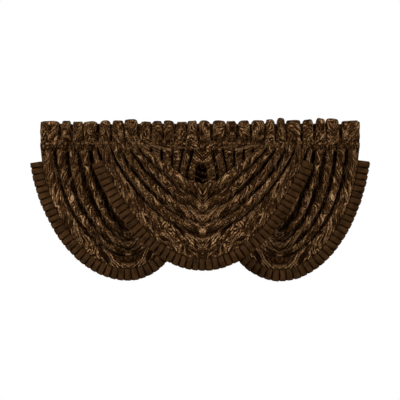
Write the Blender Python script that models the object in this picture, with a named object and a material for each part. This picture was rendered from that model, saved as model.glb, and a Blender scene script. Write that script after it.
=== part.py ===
"""Waterfall valance: a gathered rod-pocket heading, three draped swags and their pleated trims.

The heading is one strip of cloth turned over to make an empty rod pocket. The swags are sewn under
its seam, the centre one in front, and each swag's curved hem carries a strip of knife-pleated ribbon.
Units are metres. The origin is the middle of the pocket's top edge, the front faces -Y and +Z is up.
"""
import math
from collections import namedtuple

import bpy
from mathutils import Vector

CLOTH = 0.0016          # thickness of the doubled jacquard
SEAM_Z = -0.0880        # top edge of every swag, just under the pocket's cut edges

# Heading. One row for each gathered puff, left to right: its width and how high its top stands.
Puff = namedtuple("Puff", "width rise")
PUFFS = (
    Puff(0.072, 0.000), Puff(0.049, 0.001), Puff(0.042, -0.001), Puff(0.053, -0.001),
    Puff(0.053, 0.001), Puff(0.051, 0.003), Puff(0.051, 0.006), Puff(0.049, -0.002),
    Puff(0.049, 0.000), Puff(0.042, 0.001), Puff(0.042, -0.002), Puff(0.049, 0.001),
    Puff(0.049, 0.001), Puff(0.049, 0.002), Puff(0.049, 0.001), Puff(0.053, 0.002),
    Puff(0.049, 0.003), Puff(0.042, 0.006), Puff(0.042, 0.010), Puff(0.057, 0.004),
    Puff(0.046, 0.005), Puff(0.049, 0.009), Puff(0.053, 0.008), Puff(0.072, 0.001),
)
HEADING_WIDTH = sum(puff.width for puff in PUFFS)
# Share of a puff's width, and how far the cloth swells there: flat tops between narrow slits.
PUFF_SHAPE = ((0.00, 0.00), (0.17, 0.94), (0.80, 1.00))
END_SWELL = 0.7         # the first and the last puff stay open at their cut ends
PUFF_RISE = 0.0095      # how far a full puff stands above a slit
SLIT_LEAN = 0.004       # how far the slits wander sideways at the top

# The heading's section in a slit, from the front layer's cut edge up the front, over the rod space,
# down the back and forward to the back layer's cut edge. A full puff adds swell to y, and to z the
# share top of PUFF_RISE.
Section = namedtuple("Section", "y z swell top")
POCKET_SECTION = (
    Section(-0.0157, -0.0870, 0.0000, 0.0),
    Section(-0.0157, -0.0780, -0.0015, 0.0),
    Section(-0.0137, -0.0680, -0.0110, 0.0),
    Section(-0.0127, -0.0450, -0.0150, 0.1),
    Section(-0.0117, -0.0190, -0.0135, 0.4),
    Section(-0.0067, -0.0095, -0.0050, 1.0),
    Section(0.0068, -0.0095, 0.0030, 1.0),
    Section(0.0123, -0.0200, 0.0075, 0.4),
    Section(0.0128, -0.0480, 0.0085, 0.0),
    Section(0.0098, -0.0700, 0.0050, 0.0),
    Section(-0.0042, -0.0790, 0.0000, 0.0),
    Section(-0.0124, -0.0820, 0.0000, 0.0),
    Section(-0.0124, -0.0870, 0.0000, 0.0),
)

# Swags. A fold line leaves the seam at start, a share of the half width, droops by drop, a share of
# the swag's drop, at its axis, and climbs again as (1 - |u| ** point) ** fullness: point 2 is round
# at the axis and point 1 a V, and a low fullness is square-shouldered. swell is how far the cloth
# stands forward below the line, and at_axis the share of that left at the axis.
FoldLine = namedtuple("FoldLine", "start drop fullness point swell at_axis")
CENTRE_PANEL = FoldLine(0.585, 0.450, 0.80, 1.00, 0.000, 0.50)
# The top fold of the centre swag is turned back on itself, so its lip hides the panel's lower edge.
CENTRE_LIP = (
    FoldLine(0.592, 0.460, 0.80, 1.05, 0.005, 0.50),
    FoldLine(0.572, 0.437, 0.85, 0.82, 0.011, 0.50),
    FoldLine(0.578, 0.442, 0.84, 0.86, 0.016, 0.50),
    FoldLine(0.600, 0.460, 0.82, 1.00, 0.015, 0.50),
)
CENTRE_VALLEYS = (
    FoldLine(0.620, 0.490, 0.80, 1.15, 0.020, 0.25),
    FoldLine(0.705, 0.600, 0.87, 1.40, 0.020, 0.25),
    FoldLine(0.800, 0.710, 0.87, 1.60, 0.020, 0.25),
    FoldLine(0.885, 0.805, 0.87, 1.75, 0.018, 0.25),
    FoldLine(1.000, 1.000, 0.87, 2.00, 0.000, 0.25),
)
SIDE_VALLEYS = (
    FoldLine(0.320, 0.570, 1.10, 2.00, 0.017, 0.45),
    FoldLine(0.440, 0.670, 1.00, 2.00, 0.017, 0.45),
    FoldLine(0.570, 0.775, 0.78, 2.00, 0.017, 0.45),
    FoldLine(0.700, 0.845, 0.63, 2.00, 0.017, 0.45),
    FoldLine(0.840, 0.900, 0.58, 2.00, 0.016, 0.45),
    FoldLine(1.000, 1.000, 0.58, 2.00, 0.000, 0.45),
)
# Share of the way from one valley to the next, and the share of the swell there. A fold hangs over
# the valley below it, so its lower side is the steeper one.
FOLD_SHAPE = ((0.00, 0.00), (0.27, 0.72), (0.60, 1.00), (0.86, 0.76))
HEM_SHAPE = ((0.00, 0.00), (0.20, 0.80), (0.55, 0.95), (1.00, 0.60))

# axis is the swag's middle, left and right its half widths, hidden the side that lies behind the
# centre swag, seam_y and valley_y the depths of its valleys at the seam and where they are open.
Swag = namedtuple("Swag", "axis left right hidden drop seam_y valley_y belly")
SWAGS = {
    "centre": Swag(0.010, 0.400, 0.402, 0, 0.431, -0.0157, -0.0167, 0.016),
    "left": Swag(-0.274, 0.334, 0.209, 1, 0.466, -0.0080, 0.0078, 0.000),
    "right": Swag(0.304, 0.217, 0.304, -1, 0.472, -0.0080, 0.0078, 0.000),
}
HIDDEN_FULLNESS = 0.62  # the hidden half is narrower and hangs more squarely
SEAM_SWELL = 0.25       # how much of a fold is left where it is pressed into the seam
SEAM_REACH = 0.05       # share of the swag's drop over which the folds open below the seam
AXIS_REACH = 0.45       # share over which they flatten towards the swag's axis
CENTRE_COLUMNS = 24
# A side swag's columns cross its hem at these shares of its drop, down to the axis and up again.
SIDE_DEPTHS = (0.0, 0.05, 0.12, 0.22, 0.35, 0.50, 0.65, 0.78, 0.88, 0.95, 0.99, 1.0)
SIDE_PANEL_START = 0.10
SIDE_PANEL_SHARES = (0.0, 0.35, 0.7)

# Gathered cloth above the lip of the centre swag, with a hollow between its two middle gathers.
PANEL_START = 0.57
PANEL_SHARES = (0.0, 0.16, 0.33, 0.42, 0.70, 0.77)
PANEL_SETBACK = 0.0025
GATHERS = 12
GATHER_DEPTH = 0.0075
HOLLOW = (0.33, 0.42, 0.70, 0.77)   # shares of the panel's drop: starts, full, still full, ends
HOLLOW_DEPTH = 0.016
HOLLOW_PUSH = 0.050     # how hard the hollow pushes the gathers beside it apart
HOLLOW_REACH = 0.060

# Pleated ribbon trim.
TRIM_GAP = 0.0008       # space between a hem and its trim, wide enough for their slanting edges
TRIM_WIDTH = 0.042
TRIM_CLOTH = 0.0014
TRIM_TOP_DROP = 0.155   # share of the swag's drop at which the trim begins
PLEAT_PITCH = 0.023
PLEAT_CREST = 0.80      # share of a pleat's pitch at which it stands highest
SEWN_PLEAT = 0.0010     # height of a pleat at the sewn edge, to either side
FREE_PLEAT = 0.0028     # and at the free edge
PLEAT_STEP = 0.0015     # how far a pleat's crest corner hangs past its root
CORNER_MERGE = 0.0015   # a corner of the hem this close to a pleat's edge needs no column of its own

JACQUARD = (0.045, 0.022, 0.010, 1.0)
RIBBON = (0.036, 0.018, 0.007, 1.0)


def clear_scene():
    """Start from an empty scene."""
    for obj in list(bpy.data.objects):
        bpy.data.objects.remove(obj)


def cloth_material(name, colour, roughness):
    """Matt woven cloth."""
    material = bpy.data.materials.new(name)
    material.use_nodes = True
    shader = material.node_tree.nodes["Principled BSDF"]
    shader.inputs["Base Color"].default_value = colour
    shader.inputs["Roughness"].default_value = roughness
    shader.inputs["Metallic"].default_value = 0.0
    return material


def strip_faces(upper, lower, upper_count, lower_count):
    """Faces between two rows of vertices, where the upper one may have twice as many columns."""
    step = (upper_count - 1) // (lower_count - 1)
    faces = []
    for column in range(lower_count - 1):
        top = [upper + column * step + i for i in range(step + 1)]
        faces.append((*top, lower + column + 1, lower + column))
    return faces


def sheet(name, rows, thickness, material):
    """One piece of cloth: rows of points, thickened to both sides of its middle surface."""
    points = [point for row in rows for point in row]
    faces = []
    start = 0
    for upper, lower in zip(rows, rows[1:]):
        faces.extend(strip_faces(start, start + len(upper), len(upper), len(lower)))
        start += len(upper)
    mesh = bpy.data.meshes.new(name)
    mesh.from_pydata(points, [], faces)
    mesh.materials.append(material)
    mesh.shade_smooth()
    obj = bpy.data.objects.new(name, mesh)
    bpy.context.scene.collection.objects.link(obj)
    solidify = obj.modifiers.new("cloth thickness", "SOLIDIFY")
    solidify.thickness = thickness
    solidify.offset = 0.0
    return obj


def ease(value):
    """Smooth step from 0 to 1."""
    value = min(1.0, max(0.0, value))
    return value * value * (3.0 - 2.0 * value)


def heading(material):
    """The gathered strip whose fold is the rod pocket."""
    columns = [(-HEADING_WIDTH / 2, END_SWELL, 0.0, 0.0)]
    left = -HEADING_WIDTH / 2
    for number, puff in enumerate(PUFFS):
        for share, swell in PUFF_SHAPE:
            if number + share > 0.0:
                lean = SLIT_LEAN * math.sin(1.9 * (number + share))
                columns.append((left + share * puff.width, swell, puff.rise, lean))
        left += puff.width
    columns.append((left, END_SWELL, 0.0, 0.0))
    rows = []
    for section in POCKET_SECTION:
        height = 1.0 - section.z / SEAM_Z
        row = []
        for x, swell, rise, lean in columns:
            z = section.z + section.top * swell * (PUFF_RISE + rise)
            row.append((x + lean * height, section.y + section.swell * swell, z))
        rows.append(row)
    return sheet("heading", rows, CLOTH, material)


def between(upper, lower, share, swell):
    """The fold line that lies a share of the way from one line to the next."""
    values = [a + (b - a) * share for a, b in zip(upper, lower)]
    return FoldLine(*values)._replace(swell=swell)


def drape_lines(valleys):
    """The fold lines of a run of folds, four to a fold, ending at the hem."""
    lines = []
    for number, (upper, lower) in enumerate(zip(valleys, valleys[1:])):
        shape = HEM_SHAPE if number == len(valleys) - 2 else FOLD_SHAPE
        for share, swell in shape:
            lines.append(between(upper, lower, share, swell * upper.swell))
    return lines


def panel_lines(lowest, start, shares):
    """Fold lines of the cloth between the straight seam and the first fold."""
    seam = lowest._replace(start=start, drop=0.0)
    return [between(seam, lowest, share, 0.0) for share in shares]


def swag_point(swag, line, u):
    """Point of a fold line at u, which runs from -1 at the left seam to 1 at the right one."""
    hidden = u * swag.hidden > 0.0
    half_width = swag.left if u < 0.0 else swag.right
    fullness = line.fullness * (HIDDEN_FULLNESS if hidden else 1.0)
    droop = max(0.0, 1.0 - abs(u) ** line.point) ** fullness
    opened = ease(line.drop * droop / SEAM_REACH)
    from_axis = 0.0 if hidden else ease(abs(u) / AXIS_REACH)
    swell = line.swell * (SEAM_SWELL + (1.0 - SEAM_SWELL) * opened)
    swell *= line.at_axis + (1.0 - line.at_axis) * from_axis
    back = swag.seam_y + (swag.valley_y - swag.seam_y) * opened
    x = swag.axis + line.start * half_width * u
    y = back - swag.belly * droop * line.drop - swell
    return Vector((x, y, SEAM_Z - line.drop * swag.drop * droop))


def gathered_point(swag, share, line, u):
    """Point of the centre panel, whose cloth stands in gathers with a hollow in the middle."""
    point = swag_point(swag, line, u)
    across = math.pi * GATHERS * u
    starts, full, still_full, ends = HOLLOW
    hollow = ease((share - starts) / (full - starts)) * ease((ends - share) / (ends - still_full))
    wave = math.cos(across)
    if abs(across) < math.pi:
        depth = GATHER_DEPTH + HOLLOW_DEPTH
        back = depth * hollow * (0.5 + 0.5 * wave) - GATHER_DEPTH
    else:
        back = GATHER_DEPTH * wave
    pressed = ease((1.0 - abs(u)) / 0.1) * (0.35 + 0.65 * ease(share / 0.45)) * ease((1.0 - share) / 0.2)
    point.y += back * pressed + PANEL_SETBACK * ease(share / 0.45)
    beside = (point.x - swag.axis) / HOLLOW_REACH
    point.x += HOLLOW_PUSH * beside * math.exp(-beside * beside) * ease(share / full)
    return point


def side_columns(swag):
    """Places u of a side swag's columns, from -1 to 1."""
    hem = SIDE_VALLEYS[-1]
    us = []
    for side in (-1, 1):
        fullness = hem.fullness * (HIDDEN_FULLNESS if side == swag.hidden else 1.0)
        half = [side * (1.0 - depth ** (1.0 / fullness)) ** (1.0 / hem.point) for depth in SIDE_DEPTHS]
        us += half if side < 0 else half[-2::-1]
    return us


def swag_rows(name):
    """Rows of points of one swag, from the seam down to the hem, and the columns' places u."""
    swag = SWAGS[name]
    if name == "centre":
        us = [2.0 * c / CENTRE_COLUMNS - 1.0 for c in range(CENTRE_COLUMNS + 1)]
        fine = [c / CENTRE_COLUMNS - 1.0 for c in range(2 * CENTRE_COLUMNS + 1)]
        rows = []
        for share in PANEL_SHARES + (1.0,):
            line = panel_lines(CENTRE_PANEL, PANEL_START, (share,))[0]
            rows.append([gathered_point(swag, share, line, u) for u in fine])
        lines = list(CENTRE_LIP) + drape_lines(CENTRE_VALLEYS)
    else:
        us = side_columns(swag)
        rows = []
        lines = panel_lines(SIDE_VALLEYS[0], SIDE_PANEL_START, SIDE_PANEL_SHARES)
        lines += drape_lines(SIDE_VALLEYS)
    rows.extend([swag_point(swag, line, u) for u in us] for line in lines)
    return rows, us


def hem_normals(swag, hem_line, us):
    """Directions square to the hem, pointing out of the swag, at each column."""
    normals = []
    for u in us:
        before = swag_point(swag, hem_line, max(-1.0, u - 0.01))
        after = swag_point(swag, hem_line, min(1.0, u + 0.01))
        along = after - before
        normals.append(Vector((along.z, 0.0, -along.x)).normalized())
    return normals


def trim_rows(name, hem, us):
    """Rows of the pleated ribbon that follows a swag's hem, sewn edge first."""
    swag = SWAGS[name]
    hem_line = CENTRE_VALLEYS[-1] if name == "centre" else SIDE_VALLEYS[-1]
    normals = hem_normals(swag, hem_line, us)
    lengths = [0.0]
    for a, b in zip(hem, hem[1:]):
        lengths.append(lengths[-1] + (b - a).length)

    def along_hem(length):
        """Point of the hem and the direction out of it, at a length along it."""
        i = max(n for n in range(len(hem) - 1) if lengths[n] <= length)
        share = (length - lengths[i]) / (lengths[i + 1] - lengths[i])
        return hem[i].lerp(hem[i + 1], share), normals[i].lerp(normals[i + 1], share).normalized()

    top = SEAM_Z - TRIM_TOP_DROP * swag.drop
    below = [i for i, point in enumerate(hem) if point.z < top]
    ends = []
    for outer, inner in ((below[0] - 1, below[0]), (below[-1] + 1, below[-1])):
        share = (hem[outer].z - top) / (hem[outer].z - hem[inner].z)
        ends.append(lengths[outer] + (lengths[inner] - lengths[outer]) * share)
    pleats = round((ends[1] - ends[0]) / PLEAT_PITCH)
    pitch = (ends[1] - ends[0]) / pleats
    corners = [length for length in lengths if ends[0] < length < ends[1]]
    places = [ends[0] + (number + share) * pitch for number in range(pleats) for share in (0.0, PLEAT_CREST)]
    corners = [a for a in corners if min(abs(a - b) for b in places) > CORNER_MERGE]
    sewn, free = [], []
    for place in sorted(places + [a for a in corners if a < places[-1]]):
        share = (place - ends[0]) / pitch % 1.0
        raised = share / PLEAT_CREST if share < PLEAT_CREST else (1.0 - share) / (1.0 - PLEAT_CREST)
        height = 1.0 - 2.0 * raised
        point, out = along_hem(place)
        reach = TRIM_WIDTH + PLEAT_STEP * raised
        sewn.append(point + out * TRIM_GAP + Vector((0.0, height * SEWN_PLEAT, 0.0)))
        free.append(point + out * reach + Vector((0.0, height * FREE_PLEAT, 0.0)))
    return [sewn, free]


def main():
    clear_scene()
    jacquard = cloth_material("jacquard", JACQUARD, 0.75)
    ribbon = cloth_material("ribbon", RIBBON, 0.70)
    heading(jacquard)
    for name in SWAGS:
        rows, us = swag_rows(name)
        sheet("swag_" + name, rows, CLOTH, jacquard)
        sheet("trim_" + name, trim_rows(name, rows[-1], us), TRIM_CLOTH, ribbon)


main()
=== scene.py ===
"""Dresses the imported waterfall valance: gathered heading, three draped swags, knife-pleated ribbon."""
import math
from collections import namedtuple

import bpy
import numpy as np
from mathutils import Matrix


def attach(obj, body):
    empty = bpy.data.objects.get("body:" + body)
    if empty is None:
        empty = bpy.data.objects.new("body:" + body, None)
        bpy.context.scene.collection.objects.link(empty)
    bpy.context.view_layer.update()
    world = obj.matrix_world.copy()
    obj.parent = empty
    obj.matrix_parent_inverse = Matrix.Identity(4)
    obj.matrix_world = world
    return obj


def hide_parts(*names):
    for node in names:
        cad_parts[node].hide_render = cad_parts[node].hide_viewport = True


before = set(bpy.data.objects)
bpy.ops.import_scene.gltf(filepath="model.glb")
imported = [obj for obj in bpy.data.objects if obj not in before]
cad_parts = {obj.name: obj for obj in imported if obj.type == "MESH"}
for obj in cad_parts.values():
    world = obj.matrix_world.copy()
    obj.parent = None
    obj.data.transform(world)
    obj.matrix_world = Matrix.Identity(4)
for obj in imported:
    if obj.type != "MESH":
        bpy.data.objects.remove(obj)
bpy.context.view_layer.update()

# Heading.
# One strip of figured jacquard, turned over to make the rod pocket, stitched below it and pushed
# together on the rod, so that it stands in flat-topped puffs between deep narrow slits.

CLOTH = 0.0009          # thickness of the jacquard
SEAM_Z = -0.0875        # height where the heading's cut edges and the swags' top edges meet

# The puffs from left to right: width, and how much further than PUFF_RISE the top stands up.
Puff = namedtuple("Puff", "width rise")
PUFFS = (
    Puff(0.072, 0.000), Puff(0.049, 0.001), Puff(0.042, -0.001), Puff(0.053, -0.001),
    Puff(0.053, 0.001), Puff(0.051, 0.003), Puff(0.051, 0.006), Puff(0.049, -0.002),
    Puff(0.049, 0.000), Puff(0.042, 0.001), Puff(0.042, -0.002), Puff(0.049, 0.001),
    Puff(0.049, 0.001), Puff(0.049, 0.002), Puff(0.049, 0.001), Puff(0.053, 0.002),
    Puff(0.049, 0.003), Puff(0.042, 0.006), Puff(0.042, 0.010), Puff(0.057, 0.004),
    Puff(0.046, 0.005), Puff(0.049, 0.009), Puff(0.053, 0.008), Puff(0.072, 0.001),
)
PUFF_SECTION = (        # place across a puff, and share of its swell
    (0.000, 0.00), (0.067, 0.02), (0.083, 0.28), (0.106, 0.55), (0.160, 0.80), (0.270, 0.95),
    (0.500, 1.00), (0.730, 0.95), (0.840, 0.80), (0.894, 0.55), (0.917, 0.28), (0.933, 0.02),
    (1.000, 0.00),
)
PUFF_COLUMNS = 24       # columns of the cloth's grid across a puff
PUFF_RISE = 0.0095      # how far a puff's top stands over the slits beside it
PUFF_UNEVEN = 0.16      # share by which the swell of a puff wanders
TOP_UNEVEN = 0.0016     # how far the tops wander up and down
WALL_UNEVEN = 0.0012    # how far the walls wander sideways
CREASE_DEPTH = 0.0016   # soft creases in a puff of CREASE_SWELL
CREASE_SWELL = 0.017
END_SWELL = 0.7         # share of its swell that the heading keeps at its two open ends
SLIT_FLOOR = 0.20       # the shallowest slits keep this share of the puffs' swell
SLIT_SPREAD = 0.0030    # how far walls move in to a tight slit, and away from a loose one
SLIT_REACH = 0.4        # share of a puff's width that moves with them
SLIT_LEAN = 0.005       # how far a slit's upper end stands beside its lower end

# The strip's section in a slit, from the back layer's cut edge round the pocket to the front layer's.
# A full puff adds swell to y, and to z the share top of its rise.
Section = namedtuple("Section", "y z swell top")
POCKET_SECTION = (
    Section(-0.0124, -0.0870, 0.0000, 0.0),
    Section(-0.0124, -0.0820, 0.0000, 0.0),
    Section(-0.0042, -0.0790, 0.0000, 0.0),
    Section(0.0090, -0.0700, 0.0058, 0.0),
    Section(0.0115, -0.0480, 0.0098, 0.0),
    Section(0.0110, -0.0200, 0.0088, 0.4),
    Section(0.0060, -0.0110, 0.0038, 1.1),
    Section(-0.0050, -0.0120, -0.0110, 1.1),
    Section(-0.0108, -0.0220, -0.0215, 0.5),
    Section(-0.0108, -0.0450, -0.0225, 0.1),
    Section(-0.0125, -0.0660, -0.0160, 0.0),
    Section(-0.0193, -0.0780, -0.0010, 0.0),
    Section(-0.0198, -0.0825, 0.0000, 0.0),
    Section(-0.0198, -0.0890, 0.0000, 0.0),
)
POCKET_ROWS = 60        # rows of the cloth's grid round the pocket
FRONT_Y = -0.009        # the pocket's front layer lies forward of this
FRONT_ROW = -20         # a row on the puffs' fronts, along which the threads are counted

PUCKER_PITCH = 0.0130   # the fine puckers that the stitches draw into the cloth
PUCKER_DEPTH = 0.0020
PUCKER_TAKE = 0.0060    # cloth that goes out of sight in a pucker
PUCKER_ROWS = (0.016, -0.019)       # height of their two rows over the seam
PUCKER_HEIGHT = 0.010   # how far up and down they fade

HEADING_FULLNESS = 1.5  # metres of cloth in a metre of heading
PATTERN_START = 0.145   # puts the mirror lines of the pattern into slits
BANDS = 3.2             # about how many bands Blender's wave texture of scale 1 has in a metre


def ease(value):
    """Smooth step from 0 to 1."""
    value = np.clip(value, 0.0, 1.0)
    return value * value * (3.0 - 2.0 * value)


def rumple(across, down, seed):
    """Uneven waves of height 1, about one to each unit of the two coordinates."""
    # The numbers have nothing in common, so that the waves don't repeat where they show.
    bend = across + 0.35 * np.sin(4.1 * down + 1.7 * seed)
    slant = down + 0.35 * np.sin(3.7 * across + 2.9 * seed)
    waves = np.sin(6.1 * bend + 1.3 * seed) + np.sin(3.9 * bend - 4.7 * slant + 2.1 * seed)
    return (waves + np.sin(5.3 * slant + 2.7 * bend + 0.6 * seed)) / 3.0


def through(table, places):
    """Smooth curve through the rows of a table, read at places counted in rows."""
    table = np.array(table, dtype=float)
    slopes = np.gradient(table, axis=0)
    row = np.clip(places.astype(int), 0, len(table) - 2)
    t = (places - row)[:, None]
    start = (1.0 + 2.0 * t) * (1.0 - t) ** 2 * table[row] + t * (1.0 - t) ** 2 * slopes[row]
    return start + t * t * (3.0 - 2.0 * t) * table[row + 1] + t * t * (t - 1.0) * slopes[row + 1]


def lengths(points, axis):
    """Distance walked over the cloth along one axis of its grid."""
    steps = np.linalg.norm(np.diff(points, axis=axis), axis=2)
    start = [(0, 0), (0, 0)]
    start[axis] = (1, 0)
    return np.pad(np.cumsum(steps, axis=axis), start)


def cloth_piece(name, points, along, down, thickness, materials):
    """A sheet of cloth from a grid of points: along and down are its threads' places in metres."""
    rows, columns = points.shape[:2]
    corner = (np.arange(rows - 1)[:, None] * columns + np.arange(columns - 1)).ravel()
    faces = np.stack([corner, corner + columns, corner + columns + 1, corner + 1], axis=1)
    mesh = bpy.data.meshes.new(name)
    mesh.from_pydata(points.reshape(-1, 3).tolist(), [], faces.tolist())
    threads = mesh.uv_layers.new(name="cloth")
    places = np.stack([along, down], axis=2).reshape(-1, 2)
    threads.data.foreach_set("uv", places[faces.ravel()].astype(np.float32).ravel())
    mesh.shade_smooth()
    for material in materials:
        mesh.materials.append(material)
    piece = bpy.data.objects.new(name, mesh)
    bpy.context.scene.collection.objects.link(piece)
    solidify = piece.modifiers.new("cloth thickness", "SOLIDIFY")
    solidify.thickness = thickness
    solidify.offset = 0.0
    solidify.material_offset = len(materials) - 1
    return piece


def linear(hex_colour):
    """A colour given as an sRGB hex value, as linear light."""
    parts = [int(hex_colour[i:i + 2], 16) / 255.0 for i in (1, 3, 5)]
    return tuple(c / 12.92 if c <= 0.04045 else ((c + 0.055) / 1.055) ** 2.4 for c in parts) + (1.0,)


def add(tree, kind, inputs=(), **settings):
    """One node of a tree. inputs are values, or nodes and sockets to link, by name or place."""
    node = tree.nodes.new(kind)
    for name, value in settings.items():
        setattr(node, name, value)
    for name, value in dict(inputs).items():
        if isinstance(value, bpy.types.Node):
            value = value.outputs[0]
        if isinstance(value, bpy.types.NodeSocket):
            tree.links.new(value, node.inputs[name])
        else:
            node.inputs[name].default_value = value
    return node


def jacquard(name, tones, gloss):
    """Jacquard woven of spun and filament yarns: a matt ribbed ground under a satin figure of long
    leaf veins and curled fronds. tones runs from the ground's darkest yarn to the figure's lightest,
    and gloss is the figure's roughness."""
    material = bpy.data.materials.new(name)
    material.use_nodes = True
    tree = material.node_tree
    shader = tree.nodes["Principled BSDF"]
    half_repeat = 0.620     # width of half a mirrored repeat, centred on each swag's axis
    slice_depth = 0.73      # the slice through the noise that the figure is drawn from
    leaf_size = 0.062       # a group of veins that sweep the same way
    chevron_reach = 0.10    # nearer to a swag's axis the veins stray less, and meet in chevrons
    stray_near = 0.020
    stray_far = 0.090
    vein_length = 0.030
    vein_width = 0.0038
    vein_angle = math.radians(-36.0)    # veins run down towards the axis
    frond_size = 0.062
    frond_inside = 0.020    # distances from its middle at which a frond starts to fade, and is gone
    frond_outside = 0.032
    frond_arms = 6.0
    winding = 6.0           # how tightly the arms curl, one way or the other
    any_turn = 6.3          # about a full turn, so that each frond starts elsewhere
    no_frond = 0.035        # distances from a swag's axis at which fronds start, and are full
    all_fronds = 0.055
    patch_size = 1.0 / 24.0     # areas where the figure is strong or faint, 42 mm
    slub_size = 1.0 / 280.0     # thick places of the yarns, 3.6 mm: coarser than real ones, to show
    cord_pitch = 0.0016     # cords of the ground, drawn coarser than the real ones so that they show
    figure_faint = 0.25     # how strongly the figure stands out between the leaves, and in them
    figure_strong = 0.41
    tone_between = 0.215    # the tones that it stands out from there
    tone_in_leaf = 0.430
    slub_tone = 0.52        # how far a slub changes the tone
    tone_places = (0.05, 0.33, 0.58, 0.80, 1.0)

    threads = add(tree, "ShaderNodeUVMap", uv_map="cloth")
    place = add(tree, "ShaderNodeSeparateXYZ", {0: threads})
    mirrored = add(tree, "ShaderNodeMath", {0: place.outputs[0], 1: half_repeat}, operation="PINGPONG")
    flat = add(tree, "ShaderNodeCombineXYZ", {0: mirrored, 1: place.outputs[1], 2: slice_depth})
    drift = add(tree, "ShaderNodeTexNoise", {"Vector": flat, "Scale": 1.0 / leaf_size, "Detail": 1.0})
    push = add(tree, "ShaderNodeVectorMath", {0: drift.outputs["Color"], 1: (0.5, 0.5, 0.5)},
               operation="SUBTRACT")
    stray = add(tree, "ShaderNodeMapRange", {0: mirrored, 1: 0.0, 2: chevron_reach, 3: stray_near,
                4: stray_far})
    swept = add(tree, "ShaderNodeVectorMath", {0: push, "Scale": stray}, operation="SCALE")
    pushed = add(tree, "ShaderNodeVectorMath", {0: swept, 1: flat}, operation="ADD")

    # Leaf veins: long thin strokes that lie side by side.
    laid = add(tree, "ShaderNodeMapping", {"Vector": pushed, "Rotation": (0.0, 0.0, vein_angle),
               "Scale": (vein_length, vein_width, 1.0)}, vector_type="TEXTURE")
    veins = add(tree, "ShaderNodeTexNoise", {"Vector": laid, "Scale": 1.0, "Detail": 2.0,
                "Roughness": 0.5})
    vein = add(tree, "ShaderNodeMapRange", {0: veins.outputs[0], 1: 0.40, 2: 0.60, 3: -1.0, 4: 1.0})

    # Fronds: arms that curl round the middle of some cells, and run out into the veins.
    cells = add(tree, "ShaderNodeTexVoronoi", {"Vector": pushed, "Scale": 1.0 / frond_size,
                "Randomness": 0.8}, voronoi_dimensions="2D")
    offset = add(tree, "ShaderNodeVectorMath", {0: pushed, 1: cells.outputs["Position"]},
                 operation="SUBTRACT")
    local = add(tree, "ShaderNodeVectorMath", {0: offset, 1: (1.0, 1.0, 0.0)}, operation="MULTIPLY")
    arm = add(tree, "ShaderNodeSeparateXYZ", {0: local})
    turn = add(tree, "ShaderNodeMath", {0: arm.outputs[1], 1: arm.outputs[0]}, operation="ARCTAN2")
    reach = add(tree, "ShaderNodeVectorMath", {0: local}, operation="LENGTH")
    wound = add(tree, "ShaderNodeMath", {0: reach.outputs["Value"], 1: math.e}, operation="LOGARITHM")
    cell = add(tree, "ShaderNodeSeparateColor", {0: cells.outputs["Color"]})
    hand = add(tree, "ShaderNodeMapRange", {0: cell.outputs[0], 1: 0.45, 2: 0.55, 3: -winding,
               4: winding})
    spiral = add(tree, "ShaderNodeMath", {0: wound, 1: hand}, operation="MULTIPLY")
    spoke = add(tree, "ShaderNodeMath", {0: turn, 1: frond_arms, 2: spiral}, operation="MULTIPLY_ADD")
    started = add(tree, "ShaderNodeMath", {0: cell.outputs[1], 1: any_turn, 2: spoke},
                  operation="MULTIPLY_ADD")
    frond = add(tree, "ShaderNodeMath", {0: started}, operation="SINE")
    near = add(tree, "ShaderNodeMapRange", {0: reach.outputs["Value"], 1: frond_inside,
               2: frond_outside, 3: 1.0, 4: 0.0})
    some = add(tree, "ShaderNodeMapRange", {0: cell.outputs[2], 1: 0.50, 2: 0.54})
    aside = add(tree, "ShaderNodeMapRange", {0: mirrored, 1: no_frond, 2: all_fronds})
    curled = add(tree, "ShaderNodeMath", {0: near, 1: some}, operation="MULTIPLY")
    share = add(tree, "ShaderNodeMath", {0: curled, 1: aside}, operation="MULTIPLY")
    strokes = add(tree, "ShaderNodeMix", {0: share, 2: vein, 3: frond}, data_type="FLOAT")

    # The figure stands out more in the leaves than between them, and slubs break up both faces.
    leaves = add(tree, "ShaderNodeTexNoise", {"Vector": pushed, "Scale": 1.0 / patch_size,
                 "Detail": 1.5})
    leaf = add(tree, "ShaderNodeMapRange", {0: leaves.outputs[0], 1: 0.38, 2: 0.60,
               3: figure_faint, 4: figure_strong})
    slubs = add(tree, "ShaderNodeTexNoise", {"Vector": flat, "Scale": 1.0 / slub_size, "Detail": 2.0})
    slub = add(tree, "ShaderNodeMapRange", {0: slubs.outputs[0], 1: 0.2, 2: 0.8, 3: -slub_tone,
               4: slub_tone})
    base = add(tree, "ShaderNodeMapRange", {0: leaves.outputs[0], 1: 0.34, 2: 0.66,
               3: tone_between, 4: tone_in_leaf})
    woven = add(tree, "ShaderNodeMath", {0: strokes, 1: leaf, 2: base}, operation="MULTIPLY_ADD")
    tone = add(tree, "ShaderNodeMath", {0: woven, 1: slub}, operation="ADD")
    colour = add(tree, "ShaderNodeValToRGB", {0: tone})
    ramp = colour.color_ramp.elements
    for number, hex_colour in enumerate(tones):
        inner = 0 < number < len(tones) - 1
        stop = ramp.new(tone_places[number]) if inner else ramp[0 if number == 0 else -1]
        stop.position = tone_places[number]
        stop.color = linear(hex_colour)

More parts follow.
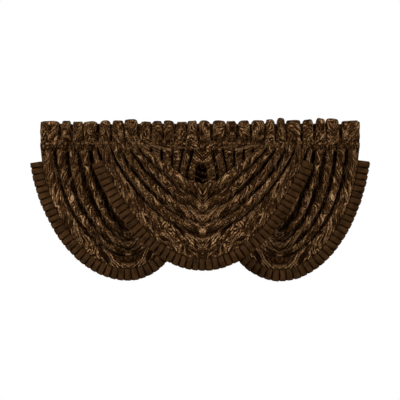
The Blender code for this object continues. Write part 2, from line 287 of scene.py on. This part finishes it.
    # The ground is matt, the figure less so, and the cords give both a fine rib.
    dull = add(tree, "ShaderNodeMapRange", {0: tone, 1: 0.4, 2: 0.8, 3: 0.85, 4: gloss})
    cords = add(tree, "ShaderNodeTexWave", {"Vector": threads, "Scale": 1.0 / cord_pitch / BANDS,
                "Distortion": 1.5, "Detail": 1.0}, bands_direction="Y")
    weave = add(tree, "ShaderNodeMath", {0: cords.outputs[1], 1: 0.35, 2: tone},
                operation="MULTIPLY_ADD")
    raised = add(tree, "ShaderNodeBump", {"Strength": 0.5, "Distance": 0.0008, "Height": weave})
    tree.links.new(colour.outputs[0], shader.inputs["Base Color"])
    tree.links.new(dull.outputs[0], shader.inputs["Roughness"])
    tree.links.new(raised.outputs[0], shader.inputs["Normal"])
    shader.inputs["Specular IOR Level"].default_value = 0.04    # spun yarn hardly mirrors
    return material


figured_face = jacquard("figured jacquard", ("#100500", "#2C1906", "#4B3117", "#886543", "#B9956E"),
                        0.55)
# The reverse shows the same yarns the other way round: a duller bronze ground, a darker figure.
figured_back = jacquard("jacquard reverse", ("#6E5233", "#5A4228", "#3C2A18", "#24160A", "#180D05"),
                        0.80)


def puff_columns():
    """Places along the heading, the share of a puff's swell there, its rise and the slit's lean."""
    section = through(PUFF_SECTION, np.arange(PUFF_COLUMNS) / PUFF_COLUMNS * (len(PUFF_SECTION) - 1.0))
    t, share = section.T
    nearest = np.minimum(t, 1.0 - t)
    spread = np.sin(math.pi * np.clip(nearest / SLIT_REACH, 0.0, 1.0)) * np.sign(0.5 - t)
    columns = []
    left = -sum(puff.width for puff in PUFFS) / 2.0
    for number, puff in enumerate(PUFFS):
        # From -1 for a loose deep slit to 1 for a tight shallow one, beside each half of the puff.
        tight = np.where(t < 0.5, *(math.sin(2.3 * slit + 0.9) for slit in (number, number + 1)))
        floor = SLIT_FLOOR * np.maximum(tight, 0.0)
        swell = floor + (1.0 - floor) * share
        if number == 0:
            swell = np.where(t < 0.5, END_SWELL + (1.0 - END_SWELL) * swell, swell)
        if number == len(PUFFS) - 1:
            swell = np.where(t > 0.5, END_SWELL + (1.0 - END_SWELL) * swell, swell)
        lean = SLIT_LEAN * np.sin(1.9 * (number + t))
        x = left + t * puff.width - SLIT_SPREAD * tight * spread
        columns.append(np.stack([x, swell, np.full_like(t, puff.rise), lean]))
        left += puff.width
    columns.append(np.array([[left], [END_SWELL], [0.0], [0.0]]))
    return np.concatenate(columns, axis=1)


def puckered(x, z):
    """Puckers of height 1 that the stitches draw into the cloth above and below the seam."""
    # The two slow waves make their spacing uneven.
    phase = 2.0 * math.pi * x / PUCKER_PITCH + 1.6 * np.sin(61.0 * x) + 1.1 * np.sin(143.0 * x + 2.0)
    above, below = (np.exp(-((z - SEAM_Z - row) / PUCKER_HEIGHT) ** 2) for row in PUCKER_ROWS)
    return (above + below) * np.sin(phase)


x, swell, rise, lean = puff_columns()
rows = through(POCKET_SECTION, np.linspace(0.0, len(POCKET_SECTION) - 1.0, POCKET_ROWS))
y0, z0, swell_y, top = (rows[:, i:i + 1] for i in range(4))
number = np.arange(len(x)) / PUFF_COLUMNS       # place along the heading, counted in puffs
uneven = 1.0 + PUFF_UNEVEN * rumple(number[None, :] * 0.9, z0 * 14.0, 3.0)
z = z0 + top * swell * (PUFF_RISE + rise) + top * TOP_UNEVEN * rumple(number * 2.3, 0.0 * z0, 5.0)
y = y0 + swell_y * swell * uneven
crease = rumple(number[None, :] * 2.1, z0 * 30.0 + number * 0.4, 1.0) * np.abs(swell_y) / CREASE_SWELL
x = x + lean * (1.0 - z0 / SEAM_Z) + WALL_UNEVEN * rumple(number * 1.3, z0 * 25.0, 8.0)
y = y - CREASE_DEPTH * crease * swell - PUCKER_DEPTH * puckered(x, z) * (y0 < FRONT_Y)
points = np.stack(np.broadcast_arrays(x, y, z), axis=2)
around = lengths(points, 0).mean(axis=1, keepdims=True)
along = lengths(points, 1)[FRONT_ROW][None, :] * HEADING_FULLNESS + PATTERN_START
along = along + PUCKER_TAKE * puckered(x, z)
heading = cloth_piece("gathered_heading", points, *np.broadcast_arrays(along, around), CLOTH,
                      [figured_face, figured_back])
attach(heading, "root")
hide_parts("heading")

# Centre swag.
# A piece of the same jacquard hung in front and sewn in under the pocket: above, a gathered panel
# with a hollow in its middle, and below it curved folds from seam to seam that meet in a V.

# A line along the cloth from seam to seam. It leaves the seam at the share start of the swag's half
# width and hangs to the share drop of its drop. The smaller fullness is, the steeper are its ends, and
# point is about 1 for a V at the axis and 2 for a round. The cloth or the fold under it stands out by
# swell, of which the share at_axis is left at the axis.
FoldLine = namedtuple("FoldLine", "start drop fullness point swell at_axis")
CENTRE_PANEL = FoldLine(0.585, 0.450, 0.80, 1.00, 0.000, 0.50)
CENTRE_LIP = (          # the lip that turns back over the panel's lower edge
    FoldLine(0.592, 0.460, 0.80, 1.05, 0.005, 0.50),
    FoldLine(0.572, 0.437, 0.85, 0.82, 0.015, 0.50),
    FoldLine(0.578, 0.442, 0.84, 0.86, 0.022, 0.50),
    FoldLine(0.606, 0.466, 0.82, 1.00, 0.022, 0.50),
)
CENTRE_VALLEYS = (
    FoldLine(0.620, 0.490, 0.80, 1.15, 0.031, 0.18),
    FoldLine(0.705, 0.600, 0.79, 1.25, 0.032, 0.16),
    FoldLine(0.800, 0.710, 0.76, 1.35, 0.032, 0.12),
    FoldLine(0.885, 0.805, 0.76, 1.50, 0.025, 0.05),
    FoldLine(1.000, 1.000, 0.87, 2.00, 0.000, 0.12),
)
FOLD_SECTION = (        # place between the valleys, and height as a share of the fold's swell
    (0.00, 0.00), (0.11, 0.03), (0.17, 0.26), (0.215, 0.56), (0.29, 0.82), (0.40, 0.97),
    (0.52, 1.00), (0.64, 0.95), (0.74, 0.82), (0.815, 0.56), (0.845, 0.28), (0.88, 0.04),
    (1.00, 0.00),
)
# Heights of the band above the hem, from the lowest valley down, as shares of its swell.
HEM_SECTION = (0.0, 0.62, 0.86, 0.94, 0.97, 0.95, 0.91, 0.85, 0.78, 0.70, 0.62)

# A swag's axis, its half widths, the side of it that is hidden (-1, 1, or 0 for none), its drop, how
# far back its seam and its valleys lie, and how far the hem's middle hangs forward.
Swag = namedtuple("Swag", "axis left right hidden drop seam_y valley_y belly")
CENTRE = Swag(0.010, 0.400, 0.402, 0, 0.436, -0.0174, -0.0060, 0.014)
CENTRE_COLUMNS = 301    # columns of the cloth's grid, and rows of its parts
PANEL_ROWS = 34
LIP_ROWS = 20
FOLD_ROWS = 24
CENTRE_HEM_ROWS = 22

HIDDEN_FULLNESS = 0.62  # on a hidden side a line has this share of its fullness
SEAM_START = 0.02       # shares of a swag's drop at which its folds start to open, and are open
SEAM_REACH = 0.07
SEAM_TUCK = 0.0045      # how far a swag's top edge goes up behind the heading's cut edge
TUCK_REACH = 0.04       # share of a swag's drop in which that fades
AXIS_REACH = 0.22       # share of the half width at which a fold has all of its swell
VALLEY_STRAY = 0.007    # share of the drop by which a valley strays
FOLD_UNEVEN = 0.20      # shares by which the height of folds and of the hem's band wanders
HEM_UNEVEN = 0.22

PANEL_START = 0.57      # half width of the panel's gathered top edge, as a share of the swag's
PANEL_SETBACK = 0.0020  # how much further back its lower part lies
GATHERS = 12
GATHER_DEPTH = 0.0115
GATHER_UNEVEN = 0.25
GROOVE = 0.22           # width of a groove between gathers, which doubles beside the hollow
HOLLOW = (0.35, 0.40, 0.75, 0.80)   # how far down the panel it starts, is full, still is, and ends
HOLLOW_DEPTH = 0.026
HOLLOW_WIDTH = 0.74     # its width and its walls' width, as shares of a gather's
HOLLOW_WALL = 0.16
HOLLOW_SHIFT = 0.15     # how far it lies to the left, where a gather is a full turn
HOLLOW_BARS = (0.57, 0.69)          # how far down two folds inside it cross the axis
BAR_HEIGHT = 0.022      # their height on the panel, and the share of its depth that they fill
BAR_SHARE = 0.85
HOLLOW_PUSH = 0.050     # pushes the gathers beside it apart, most of all at about HOLLOW_REACH
HOLLOW_REACH = 0.060

CREASES = 0.0011        # depth of the wide and of the narrow creases of hanging cloth
FINE_CREASES = 0.0006


def between(upper, lower, share):
    """The fold line that lies a share of the way from one line to the next."""
    return FoldLine(*[a + (b - a) * share for a, b in zip(upper, lower)])


def droop_of(swag, line, u):
    """How far down its drop a fold line hangs at u, from -1 at the left seam to 1 at the right."""
    fullness = line.fullness * np.where(u * swag.hidden > 0.0, HIDDEN_FULLNESS, 1.0)
    return np.clip(1.0 - np.abs(u) ** line.point, 0.0, None) ** fullness


def openness(swag, line, u):
    """How far a fold has opened below the seam, and the share of its swell that is left there. On a
    hidden side it flattens out from the axis on."""
    opened = ease((line.drop * droop_of(swag, line, u) - SEAM_START) / (SEAM_REACH - SEAM_START))
    seen = line.at_axis + (1.0 - line.at_axis) * ease(np.abs(u) / AXIS_REACH)
    unseen = line.at_axis * (1.0 - ease(np.abs(u) / AXIS_REACH))
    share = np.where(u * swag.hidden > 0.0, unseen, seen)
    return opened, opened * opened * share


def hung(swag, line, u, swell):
    """Points of the cloth on a fold line, where it stands swell forward of its valleys."""
    droop = droop_of(swag, line, u)
    opened, share = openness(swag, line, u)
    half_width = np.where(u < 0.0, swag.left, swag.right)
    x = swag.axis + line.start * half_width * u
    tucked = SEAM_TUCK * (1.0 - ease(line.drop * droop / TUCK_REACH))
    z = SEAM_Z - line.drop * swag.drop * droop + tucked
    back = swag.seam_y + (swag.valley_y - swag.seam_y) * opened
    y = back - swag.belly * droop * line.drop - swell * share - PUCKER_DEPTH * puckered(x, z)
    return np.stack(np.broadcast_arrays(x, y, z), axis=2)


def wandering(line, u, seed):
    """A valley's line, which strays a little up and down on its way."""
    stray = VALLEY_STRAY * rumple(1.1 * u, 0.0 * u, seed) * ease((1.0 - np.abs(u)) / 0.25)
    return line._replace(drop=line.drop + stray)


def fold(swag, upper, lower, u, rows, seed):
    """Rows of one fold, from its upper valley nearly to its lower one."""
    w = np.arange(rows)[:, None] / rows
    upper, lower = wandering(upper, u, seed), wandering(lower, u, seed + 1.0)
    section = through(FOLD_SECTION, w[:, 0] * (len(FOLD_SECTION) - 1.0))
    place, height = section[:, :1], section[:, 1:]
    uneven = 1.0 + FOLD_UNEVEN * rumple(1.6 * u, 0.0 * w, 2.0 * seed)
    return hung(swag, between(upper, lower, place), u, upper.swell * height * uneven)


def hem_band(swag, upper, lower, u, rows, seed):
    """Rows of the broad band between the lowest valley and the hem."""
    w = np.linspace(0.0, 1.0, rows)
    height = through([(value,) for value in HEM_SECTION], w * (len(HEM_SECTION) - 1.0))
    upper = wandering(upper, u, seed)
    uneven = 1.0 + HEM_UNEVEN * rumple(1.3 * u, 0.8 * w[:, None], 2.0 * seed)
    return hung(swag, between(upper, lower, w[:, None]), u, upper.swell * height * uneven)


def folds(swag, valleys, u, rows, hem_rows, seed):
    """Rows of a run of folds that ends in the hem."""
    pairs = list(zip(valleys, valleys[1:]))
    parts = [fold(swag, *pair, u, rows, seed + i) for i, pair in enumerate(pairs[:-1])]
    return parts + [hem_band(swag, *pairs[-1], u, hem_rows, seed + len(pairs) - 1.0)]


def gathered_panel(swag, u, rows):
    """Rows of the centre panel, whose gathers stand round a hollow."""
    s = np.linspace(0.0, 1.0, rows, endpoint=False)[:, None]
    seam = CENTRE_PANEL._replace(start=PANEL_START, drop=0.0)
    points = hung(swag, between(seam, CENTRE_PANEL, s), u, 0.0)
    across = math.pi * GATHERS * u + 0.5 * np.sin(7.0 * u + 2.0 * s)

    # Round gathers between narrow grooves.
    groove = GROOVE + GROOVE * np.exp(-((np.abs(across) - 2.0 * math.pi) / 2.0) ** 2)
    wave = 1.0 - 2.0 * ease(1.9 * np.abs(np.sin(across / 2.0)) - groove) ** 0.8
    uneven = 1.0 + GATHER_UNEVEN * rumple(2.2 * u, 1.2 * s, 4.0)

    # The middle gather is sunk into a hollow with an arched top, which slanting bars cross.
    starts, full, still_full, ends = HOLLOW
    hollow = ease((s - starts) / (full - starts)) * ease((ends - s) / (ends - still_full))
    for bar in HOLLOW_BARS:
        hollow = hollow * (1.0 - BAR_SHARE * np.exp(-((s - bar - 0.5 * u) / BAR_HEIGHT) ** 2))
    arch = HOLLOW_WIDTH * ease((s - starts + 0.04) / 0.22) ** 0.5
    wall = ease((arch - np.abs(across + HOLLOW_SHIFT) / math.pi) / HOLLOW_WALL + 0.5)
    middle = (GATHER_DEPTH + HOLLOW_DEPTH) * hollow * wall - GATHER_DEPTH
    back = np.where(np.abs(across) < math.pi, middle, GATHER_DEPTH * wave * uneven)

    # Everything lies flat along the seam, at both ends and where the lip covers it.
    below = ease((SEAM_Z - 0.008 - points[:, :, 2]) / 0.022)
    pressed = ease((1.0 - np.abs(u)) / 0.1) * below * ease((1.0 - s) / 0.12)
    points[:, :, 1] += back * pressed + PANEL_SETBACK * ease(s / 0.45) * below
    beside = (points[:, :, 0] - swag.axis) / HOLLOW_REACH
    points[:, :, 0] += HOLLOW_PUSH * beside * np.exp(-beside * beside) * ease(s / 0.75)
    return points


def crumple(points, seed):
    """Small soft creases all over a hung piece, fading towards its seam."""
    x, z = points[:, :, 0], points[:, :, 2]
    away = ease((SEAM_Z - 0.010 - z) / 0.03)
    points[:, :, 1] += away * CREASES * rumple(x / 0.055, z / 0.055, seed)
    points[:, :, 1] += away * FINE_CREASES * rumple(x / 0.021 + z / 0.06, z / 0.024, seed + 4.0)
    return points


def swag_piece(name, node, swag, parts, u, seed):
    """A swag of cloth, with its threads measured from its axis and down from its seam."""
    points = crumple(np.concatenate(parts), seed)
    axis = int(np.argmin(np.abs(u)))
    along = lengths(points, 1)
    along = along - along[:, axis:axis + 1] + PUCKER_TAKE * puckered(points[:, :, 0], points[:, :, 2])
    down = lengths(points, 0).mean(axis=1, keepdims=True)
    piece = cloth_piece(name, points, *np.broadcast_arrays(along, down), CLOTH,
                        [figured_face, figured_back])
    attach(piece, "root")
    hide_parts(node)
    return piece, points[-1]


u = np.linspace(-1.0, 1.0, CENTRE_COLUMNS)[None, :]
lip_lines = [CENTRE_PANEL, *CENTRE_LIP, CENTRE_VALLEYS[0]._replace(swell=0.0)]
lip = through(lip_lines, np.arange(LIP_ROWS) / LIP_ROWS * (len(lip_lines) - 1.0))
lip_line = FoldLine(*[lip[:, i:i + 1] for i in range(len(FoldLine._fields))])
parts = [gathered_panel(CENTRE, u, PANEL_ROWS), hung(CENTRE, lip_line, u, lip_line.swell)]
parts += folds(CENTRE, CENTRE_VALLEYS, u, FOLD_ROWS, CENTRE_HEM_ROWS, 11.0)
swag_centre, hem_centre = swag_piece("centre_swag", "swag_centre", CENTRE, parts, u[0], 21.0)

# Side swags.
# Two more swags of the same jacquard, sewn in behind the centre one, which hides their inner halves.
# Each has a flat panel, four curved folds and a broad band that ends in the hem.

SIDE_VALLEYS = (
    FoldLine(0.320, 0.570, 0.88, 1.60, 0.033, 0.35),
    FoldLine(0.440, 0.670, 0.80, 1.60, 0.034, 0.35),
    FoldLine(0.570, 0.775, 0.62, 1.60, 0.034, 0.35),
    FoldLine(0.700, 0.845, 0.52, 1.60, 0.033, 0.35),
    FoldLine(0.840, 0.900, 0.50, 1.65, 0.025, 0.35),
    FoldLine(1.000, 1.000, 0.58, 2.00, 0.000, 0.45),
)
LEFT = Swag(-0.274, 0.334, 0.209, 1, 0.475, -0.0150, 0.0200, 0.000)
RIGHT = Swag(0.304, 0.217, 0.304, -1, 0.478, -0.0150, 0.0200, 0.000)
SIDE_PANEL_START = 0.10     # half width of the flat panel's top edge, as a share of the swag's
SIDE_PANEL_ROWS = 20
SIDE_HEM_ROWS = 16
SEEN_COLUMNS = 100      # columns of a side swag's two halves
HIDDEN_COLUMNS = 60


def side_columns(swag):
    """Places u of a side swag's columns, close together where the hem runs steeply."""
    hem = SIDE_VALLEYS[-1]
    halves = []
    for side in (-1, 1):
        hidden = side == swag.hidden
        count = HIDDEN_COLUMNS if hidden else SEEN_COLUMNS
        depth = np.sin(np.linspace(0.0, math.pi / 2.0, count)) ** 1.5
        fullness = hem.fullness * (HIDDEN_FULLNESS if hidden else 1.0)
        half = side * (1.0 - depth ** (1.0 / fullness)) ** (1.0 / hem.point)
        halves.append(half if side < 0 else half[-2::-1])
    return np.concatenate(halves)[None, :]


hems = {"centre": hem_centre}
for name, swag, seed in (("left", LEFT, 31.0), ("right", RIGHT, 47.0)):
    u = side_columns(swag)
    top = SIDE_VALLEYS[0]
    rows = np.arange(SIDE_PANEL_ROWS)[:, None] / SIDE_PANEL_ROWS
    seam = top._replace(start=SIDE_PANEL_START, drop=0.0)
    parts = [hung(swag, between(seam, top, rows), u, 0.0)]
    parts += folds(swag, SIDE_VALLEYS, u, FOLD_ROWS, SIDE_HEM_ROWS, seed)
    piece, hems[name] = swag_piece(name + "_swag", "swag_" + name, swag, parts, u[0], seed)

# Pleated trim.
# Plain brown polyester ribbon, laid in knife pleats that double back under themselves and sewn
# along the curved hem of each swag, its upper edge behind the cloth.

RIBBON = 0.0009         # thickness of the ribbon
RIBBON_WIDTH = 0.0480
PLEAT_PITCH = 0.023
PLEAT_HEIGHT = 0.0130
PLEAT_PARTS = (0.0, 0.12, 0.42, 0.72, 0.86, 0.94, 1.0)      # shares of one pleat's length of ribbon
PLEAT_RUN = (0.0, 0.01, 0.39, 0.77, 0.72, 0.85, 1.0)        # how far each lies along the hem
PLEAT_RISE = (0.0, 0.55, 0.92, 1.0, 0.06, 0.0, 0.0)         # and how far it stands out
PLEAT_STEPS = 18        # columns of the ribbon's grid in a pleat, and rows across the ribbon
RIBBON_ROWS = 9
PLEAT_CLOTH = 0.042     # metres of ribbon in a pleat, and near enough in its width, for its threads
PLEAT_STRAY = 0.10      # how unevenly the pleats' loose edges lean, as a share of the pitch
PLEAT_LONGER = 0.035    # how much further out a pleat's face reaches than the folds under it
PLEAT_RAGGED = 0.012    # and how uneven that is, both as shares of the ribbon's width
PLEAT_HELD = 0.195      # share of its height that a pleat has where it is sewn
PLEAT_OPENS = 0.5       # share of the width at which it has all of it
EDGE_SINKS = -0.445     # how far the sewn edge lies back, as a share of a pleat's height
EDGE_ENDS = (0.12, 0.30)            # shares of the width between which that fades
TRIM_GAP = -0.0040      # the ribbon's sewn edge lies behind the hem
TRIM_TOP = {"centre": -0.1430, "left": -0.1500, "right": -0.1470}   # height of each trim's ends
UNSEEN_TRIM_TOP = -0.1750   # lower behind the centre swag, clear of the back of its gathers

# Polyester satin ribbon: plain and finely ribbed across, which leaves it only a low sheen.
ribbon = bpy.data.materials.new("brown satin ribbon")
ribbon.use_nodes = True
tree = ribbon.node_tree
shader = tree.nodes["Principled BSDF"]
shade_size = 1.0 / 45.0     # lighter and darker places, about 22 mm
rib_pitch = 0.0014      # wider than the real ribs, so that they show
threads = add(tree, "ShaderNodeUVMap", uv_map="cloth")
tint = add(tree, "ShaderNodeTexNoise", {"Vector": threads, "Scale": 1.0 / shade_size, "Detail": 3.0})
shade = add(tree, "ShaderNodeMapRange", {0: tint.outputs[0], 1: 0.3, 2: 0.7})
brown = add(tree, "ShaderNodeMix", {0: shade, 6: linear("#231403"), 7: linear("#432A12")},
            data_type="RGBA")
ribs = add(tree, "ShaderNodeTexWave", {"Vector": threads, "Scale": 1.0 / rib_pitch / BANDS,
           "Distortion": 0.4}, bands_direction="X")
ribbed = add(tree, "ShaderNodeBump", {"Strength": 0.35, "Distance": 0.0004,
             "Height": ribs.outputs[1]})
tree.links.new(brown.outputs[2], shader.inputs["Base Color"])
tree.links.new(ribbed.outputs[0], shader.inputs["Normal"])
shader.inputs["Roughness"].default_value = 0.62
shader.inputs["Specular IOR Level"].default_value = 0.05


def pleat_tree():
    """Knife pleats along a hem: a ribbon that runs forward, doubles back under itself and on again."""
    tree = bpy.data.node_groups.new("knife pleats", "GeometryNodeTree")
    tree.interface.new_socket("Hem", in_out="INPUT", socket_type="NodeSocketGeometry")
    for name, kind in (("Pleats", "Int"), ("Width", "Float"), ("Height", "Float"), ("Gap", "Float"),
                       ("Seed", "Int"), ("Ribbon", "Material")):
        tree.interface.new_socket(name, in_out="INPUT", socket_type="NodeSocket" + kind)
    tree.interface.new_socket("Trim", in_out="OUTPUT", socket_type="NodeSocketGeometry")
    given = tree.nodes.new("NodeGroupInput").outputs

    # A flat grid, counted in pleats one way and in shares of the ribbon's width the other.
    hem = add(tree, "GeometryNodeMeshToCurve", {0: given["Hem"]})
    columns = add(tree, "ShaderNodeMath", {0: given["Pleats"], 1: PLEAT_STEPS, 2: 1.0},
                  operation="MULTIPLY_ADD")
    grid = add(tree, "GeometryNodeMeshGrid", {"Size X": 1.0, "Size Y": 1.0, "Vertices X": columns,
               "Vertices Y": RIBBON_ROWS})
    place = add(tree, "ShaderNodeSeparateXYZ", {0: add(tree, "GeometryNodeInputPosition")})
    shifted = add(tree, "ShaderNodeMath", {0: place.outputs[0], 1: 0.5}, operation="ADD")
    inside = 0.0005     # keeps a pleat's first column out of the pleat before
    pleats = add(tree, "ShaderNodeMath", {0: shifted, 1: given["Pleats"], 2: inside},
                 operation="MULTIPLY_ADD")
    out = add(tree, "ShaderNodeMath", {0: place.outputs[1], 1: 0.5}, operation="ADD")
    pleat = add(tree, "ShaderNodeMath", {0: pleats}, operation="FLOOR")
    part = add(tree, "ShaderNodeMath", {0: pleats}, operation="FRACT")
    curves = []
    for heights in (PLEAT_RUN, PLEAT_RISE):
        node = add(tree, "ShaderNodeFloatCurve", {1: part})
        curve = node.mapping.curves[0]
        while len(curve.points) < len(PLEAT_PARTS):
            curve.points.new(0.5, 0.5)
        for point, x, y in zip(curve.points, PLEAT_PARTS, heights):
            point.location = (x, y)
            point.handle_type = "AUTO_CLAMPED"
        node.mapping.update()
        curves.append(node)
    run, rise = curves

    # Where along the hem each column is sewn; loose edges lean a little, each its own way.
    stray = add(tree, "FunctionNodeRandomValue", {2: -1.0, 3: 1.0, "ID": pleat,
                "Seed": given["Seed"]})
    hang = add(tree, "ShaderNodeMath", {0: stray.outputs[1], 1: PLEAT_STRAY}, operation="MULTIPLY")
    middle = add(tree, "ShaderNodeMath", {0: run, 1: out}, operation="MULTIPLY")
    lean = add(tree, "ShaderNodeMath", {0: hang, 1: middle, 2: run}, operation="MULTIPLY_ADD")
    along = add(tree, "ShaderNodeMath", {0: pleat, 1: lean}, operation="ADD")
    factor = add(tree, "ShaderNodeMath", {0: along, 1: given["Pleats"]}, operation="DIVIDE")
    read = add(tree, "GeometryNodeSampleCurve", {0: hem, "Factor": factor}, use_all_curves=True)

    # The ribbon hangs square to the hem and stands forward by its pleats' height.
    outward = add(tree, "ShaderNodeVectorMath", {0: (0.0, 1.0, 0.0), 1: read.outputs["Tangent"]},
                  operation="CROSS_PRODUCT")
    unit = add(tree, "ShaderNodeVectorMath", {0: outward}, operation="NORMALIZE")
    longer = add(tree, "ShaderNodeMath", {0: rise, 1: PLEAT_LONGER, 2: 1.0},
                 operation="MULTIPLY_ADD")
    ragged = add(tree, "ShaderNodeMath", {0: stray.outputs[1], 1: PLEAT_RAGGED, 2: longer},
                 operation="MULTIPLY_ADD")
    reach = add(tree, "ShaderNodeMath", {0: given["Width"], 1: ragged}, operation="MULTIPLY")
    far = add(tree, "ShaderNodeMath", {0: out, 1: reach, 2: given["Gap"]}, operation="MULTIPLY_ADD")
    moved = add(tree, "ShaderNodeVectorMath", {0: unit, "Scale": far}, operation="SCALE")
    held = add(tree, "ShaderNodeMapRange", {0: out, 2: PLEAT_OPENS, 3: PLEAT_HELD, 4: 1.0})
    sunk = add(tree, "ShaderNodeMapRange", {0: out, 1: EDGE_ENDS[0], 2: EDGE_ENDS[1], 3: EDGE_SINKS,
               4: 0.0})
    stand = add(tree, "ShaderNodeMath", {0: rise, 1: held, 2: sunk}, operation="MULTIPLY_ADD")
    forward = add(tree, "ShaderNodeMath", {0: stand, 1: given["Height"]}, operation="MULTIPLY")
    front = add(tree, "ShaderNodeVectorMath", {0: (0.0, -1.0, 0.0), "Scale": forward},
                operation="SCALE")
    sewn = add(tree, "ShaderNodeVectorMath", {0: read.outputs["Position"], 1: moved},
               operation="ADD")
    pleated = add(tree, "ShaderNodeVectorMath", {0: sewn, 1: front}, operation="ADD")

    # The threads' places in metres are kept for the material.
    ribbon_place = add(tree, "ShaderNodeCombineXYZ", {0: pleats, 1: out})
    threads = add(tree, "ShaderNodeVectorMath", {0: ribbon_place, 1: (PLEAT_CLOTH, PLEAT_CLOTH, 0.0)},
                  operation="MULTIPLY")
    marked = add(tree, "GeometryNodeStoreNamedAttribute", {"Geometry": grid, "Name": "cloth",
                 "Value": threads}, data_type="FLOAT2", domain="CORNER")
    laid = add(tree, "GeometryNodeSetPosition", {"Geometry": marked, "Position": pleated})
    smooth = add(tree, "GeometryNodeSetShadeSmooth", {"Geometry": laid})
    real = add(tree, "GeometryNodeRealizeInstances", {"Geometry": smooth})
    done = add(tree, "GeometryNodeSetMaterial", {"Geometry": real, "Material": given["Ribbon"]})
    add(tree, "NodeGroupOutput", {0: done})
    return tree


def grown(name, line, tree, values, thickness):
    """The plain mesh that a tree of Geometry Nodes makes along a line of points."""
    mesh = bpy.data.meshes.new(name)
    mesh.from_pydata(line.tolist(), [(i, i + 1) for i in range(len(line) - 1)], [])
    host = bpy.data.objects.new(name + " line", mesh)
    bpy.context.scene.collection.objects.link(host)
    nodes = host.modifiers.new("nodes", "NODES")
    nodes.node_group = tree
    for socket in tree.interface.items_tree:
        if socket.name in values:
            nodes[socket.identifier] = values[socket.name]
    solidify = host.modifiers.new("cloth thickness", "SOLIDIFY")
    solidify.thickness = thickness
    solidify.offset = 0.0
    made = host.evaluated_get(bpy.context.evaluated_depsgraph_get())
    piece = bpy.data.objects.new(name, bpy.data.meshes.new_from_object(made))
    piece.data.name = name
    bpy.context.scene.collection.objects.link(piece)
    bpy.data.objects.remove(host)
    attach(piece, "root")
    return piece


pleats_along_hem = pleat_tree()
for name, swag, seed in (("centre", CENTRE, 5), ("left", LEFT, 8), ("right", RIGHT, 13)):
    hem = hems[name]
    unseen = (hem[:, 0] - swag.axis) * swag.hidden > 0.0
    sewn = hem[hem[:, 2] < np.where(unseen, UNSEEN_TRIM_TOP, TRIM_TOP[name])]
    run = np.linalg.norm(np.diff(sewn, axis=0), axis=1).sum()
    pleats = round(run / PLEAT_PITCH)
    trim = grown("pleated_trim_" + name, sewn, pleats_along_hem,
                 {"Pleats": pleats, "Width": RIBBON_WIDTH, "Height": PLEAT_HEIGHT, "Gap": TRIM_GAP,
                  "Seed": seed, "Ribbon": ribbon}, RIBBON)
    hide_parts("trim_" + name)

# Stage, light and camera.
# A pale floor far below the hanging valance, and a surround that looks white and lights little.
# Two strong soft lamps rake the folds from both sides, with a weak one above and one behind.

FLOOR_RADIUS = 4.0
FLOOR_Z = -1.7
FLOOR_SIDES = 64
SURROUND_LIGHT = 0.11   # what the surround gives as light, where the camera sees 1
PIXEL = 0.0038          # metres of the object to a pixel of the photograph
FRAME = 400             # pixels across the photograph
HEADING_ROW = 121       # its row of pixels at the height of the object's origin
CAMERA_DISTANCE = 6.0
CAMERA_CENTRE = (0.0, -0.0200, (HEADING_ROW - FRAME / 2) * PIXEL)

floor_mesh = bpy.data.meshes.new("floor")
turn = np.linspace(0.0, 2.0 * math.pi, FLOOR_SIDES, endpoint=False)
rim = np.stack([FLOOR_RADIUS * np.cos(turn), FLOOR_RADIUS * np.sin(turn), np.full_like(turn, FLOOR_Z)],
               axis=1)
floor_mesh.from_pydata(rim.tolist(), [], [tuple(range(FLOOR_SIDES))])
floor = bpy.data.objects.new("floor", floor_mesh)
bpy.context.scene.collection.objects.link(floor)
pale = bpy.data.materials.new("pale matt paper")
pale.use_nodes = True
pale.node_tree.nodes["Principled BSDF"].inputs["Base Color"].default_value = linear("#F2F0EC")
pale.node_tree.nodes["Principled BSDF"].inputs["Roughness"].default_value = 0.9
floor_mesh.materials.append(pale)

world = bpy.data.worlds.new("white surround")
bpy.context.scene.world = world
world.use_nodes = True
tree = world.node_tree
seen = add(tree, "ShaderNodeLightPath")
strength = add(tree, "ShaderNodeMapRange", {0: seen.outputs["Is Camera Ray"], 3: SURROUND_LIGHT,
               4: 1.0})
surround = tree.nodes["Background"]
surround.inputs["Color"].default_value = (1.0, 1.0, 1.0, 1.0)
tree.links.new(strength.outputs[0], surround.inputs["Strength"])

Lamp = namedtuple("Lamp", "name place size power")
LAMPS = (
    Lamp("top", (-0.3, -1.1, 1.7), 0.9, 9.0),
    Lamp("left", (-2.2, -1.35, 0.85), 0.9, 70.0),
    Lamp("right", (2.3, -1.35, 0.75), 0.9, 63.0),
    Lamp("back", (0.8, 2.6, 0.8), 1.6, 40.0),
)
for lamp in LAMPS:
    light = bpy.data.lights.new(lamp.name, "AREA")
    light.size = lamp.size
    light.energy = lamp.power
    stand = bpy.data.objects.new(lamp.name, light)
    bpy.context.scene.collection.objects.link(stand)
    stand.location = lamp.place
    aim = np.array(CAMERA_CENTRE) - np.array(lamp.place)
    stand.rotation_euler = (math.atan2(math.hypot(aim[0], aim[1]), -aim[2]), 0.0,
                            math.atan2(-aim[0], aim[1]))

camera = bpy.data.cameras.new("camera")
camera.sensor_width = 36.0
camera.lens = camera.sensor_width * CAMERA_DISTANCE / (FRAME * PIXEL)
camera.clip_end = 50.0
viewer = bpy.data.objects.new("camera", camera)
bpy.context.scene.collection.objects.link(viewer)
viewer.location = (CAMERA_CENTRE[0], CAMERA_CENTRE[1] - CAMERA_DISTANCE, CAMERA_CENTRE[2])
viewer.rotation_euler = (math.pi / 2.0, 0.0, 0.0)
bpy.context.scene.camera = viewer
bpy.context.scene.view_settings.view_transform = "Standard"
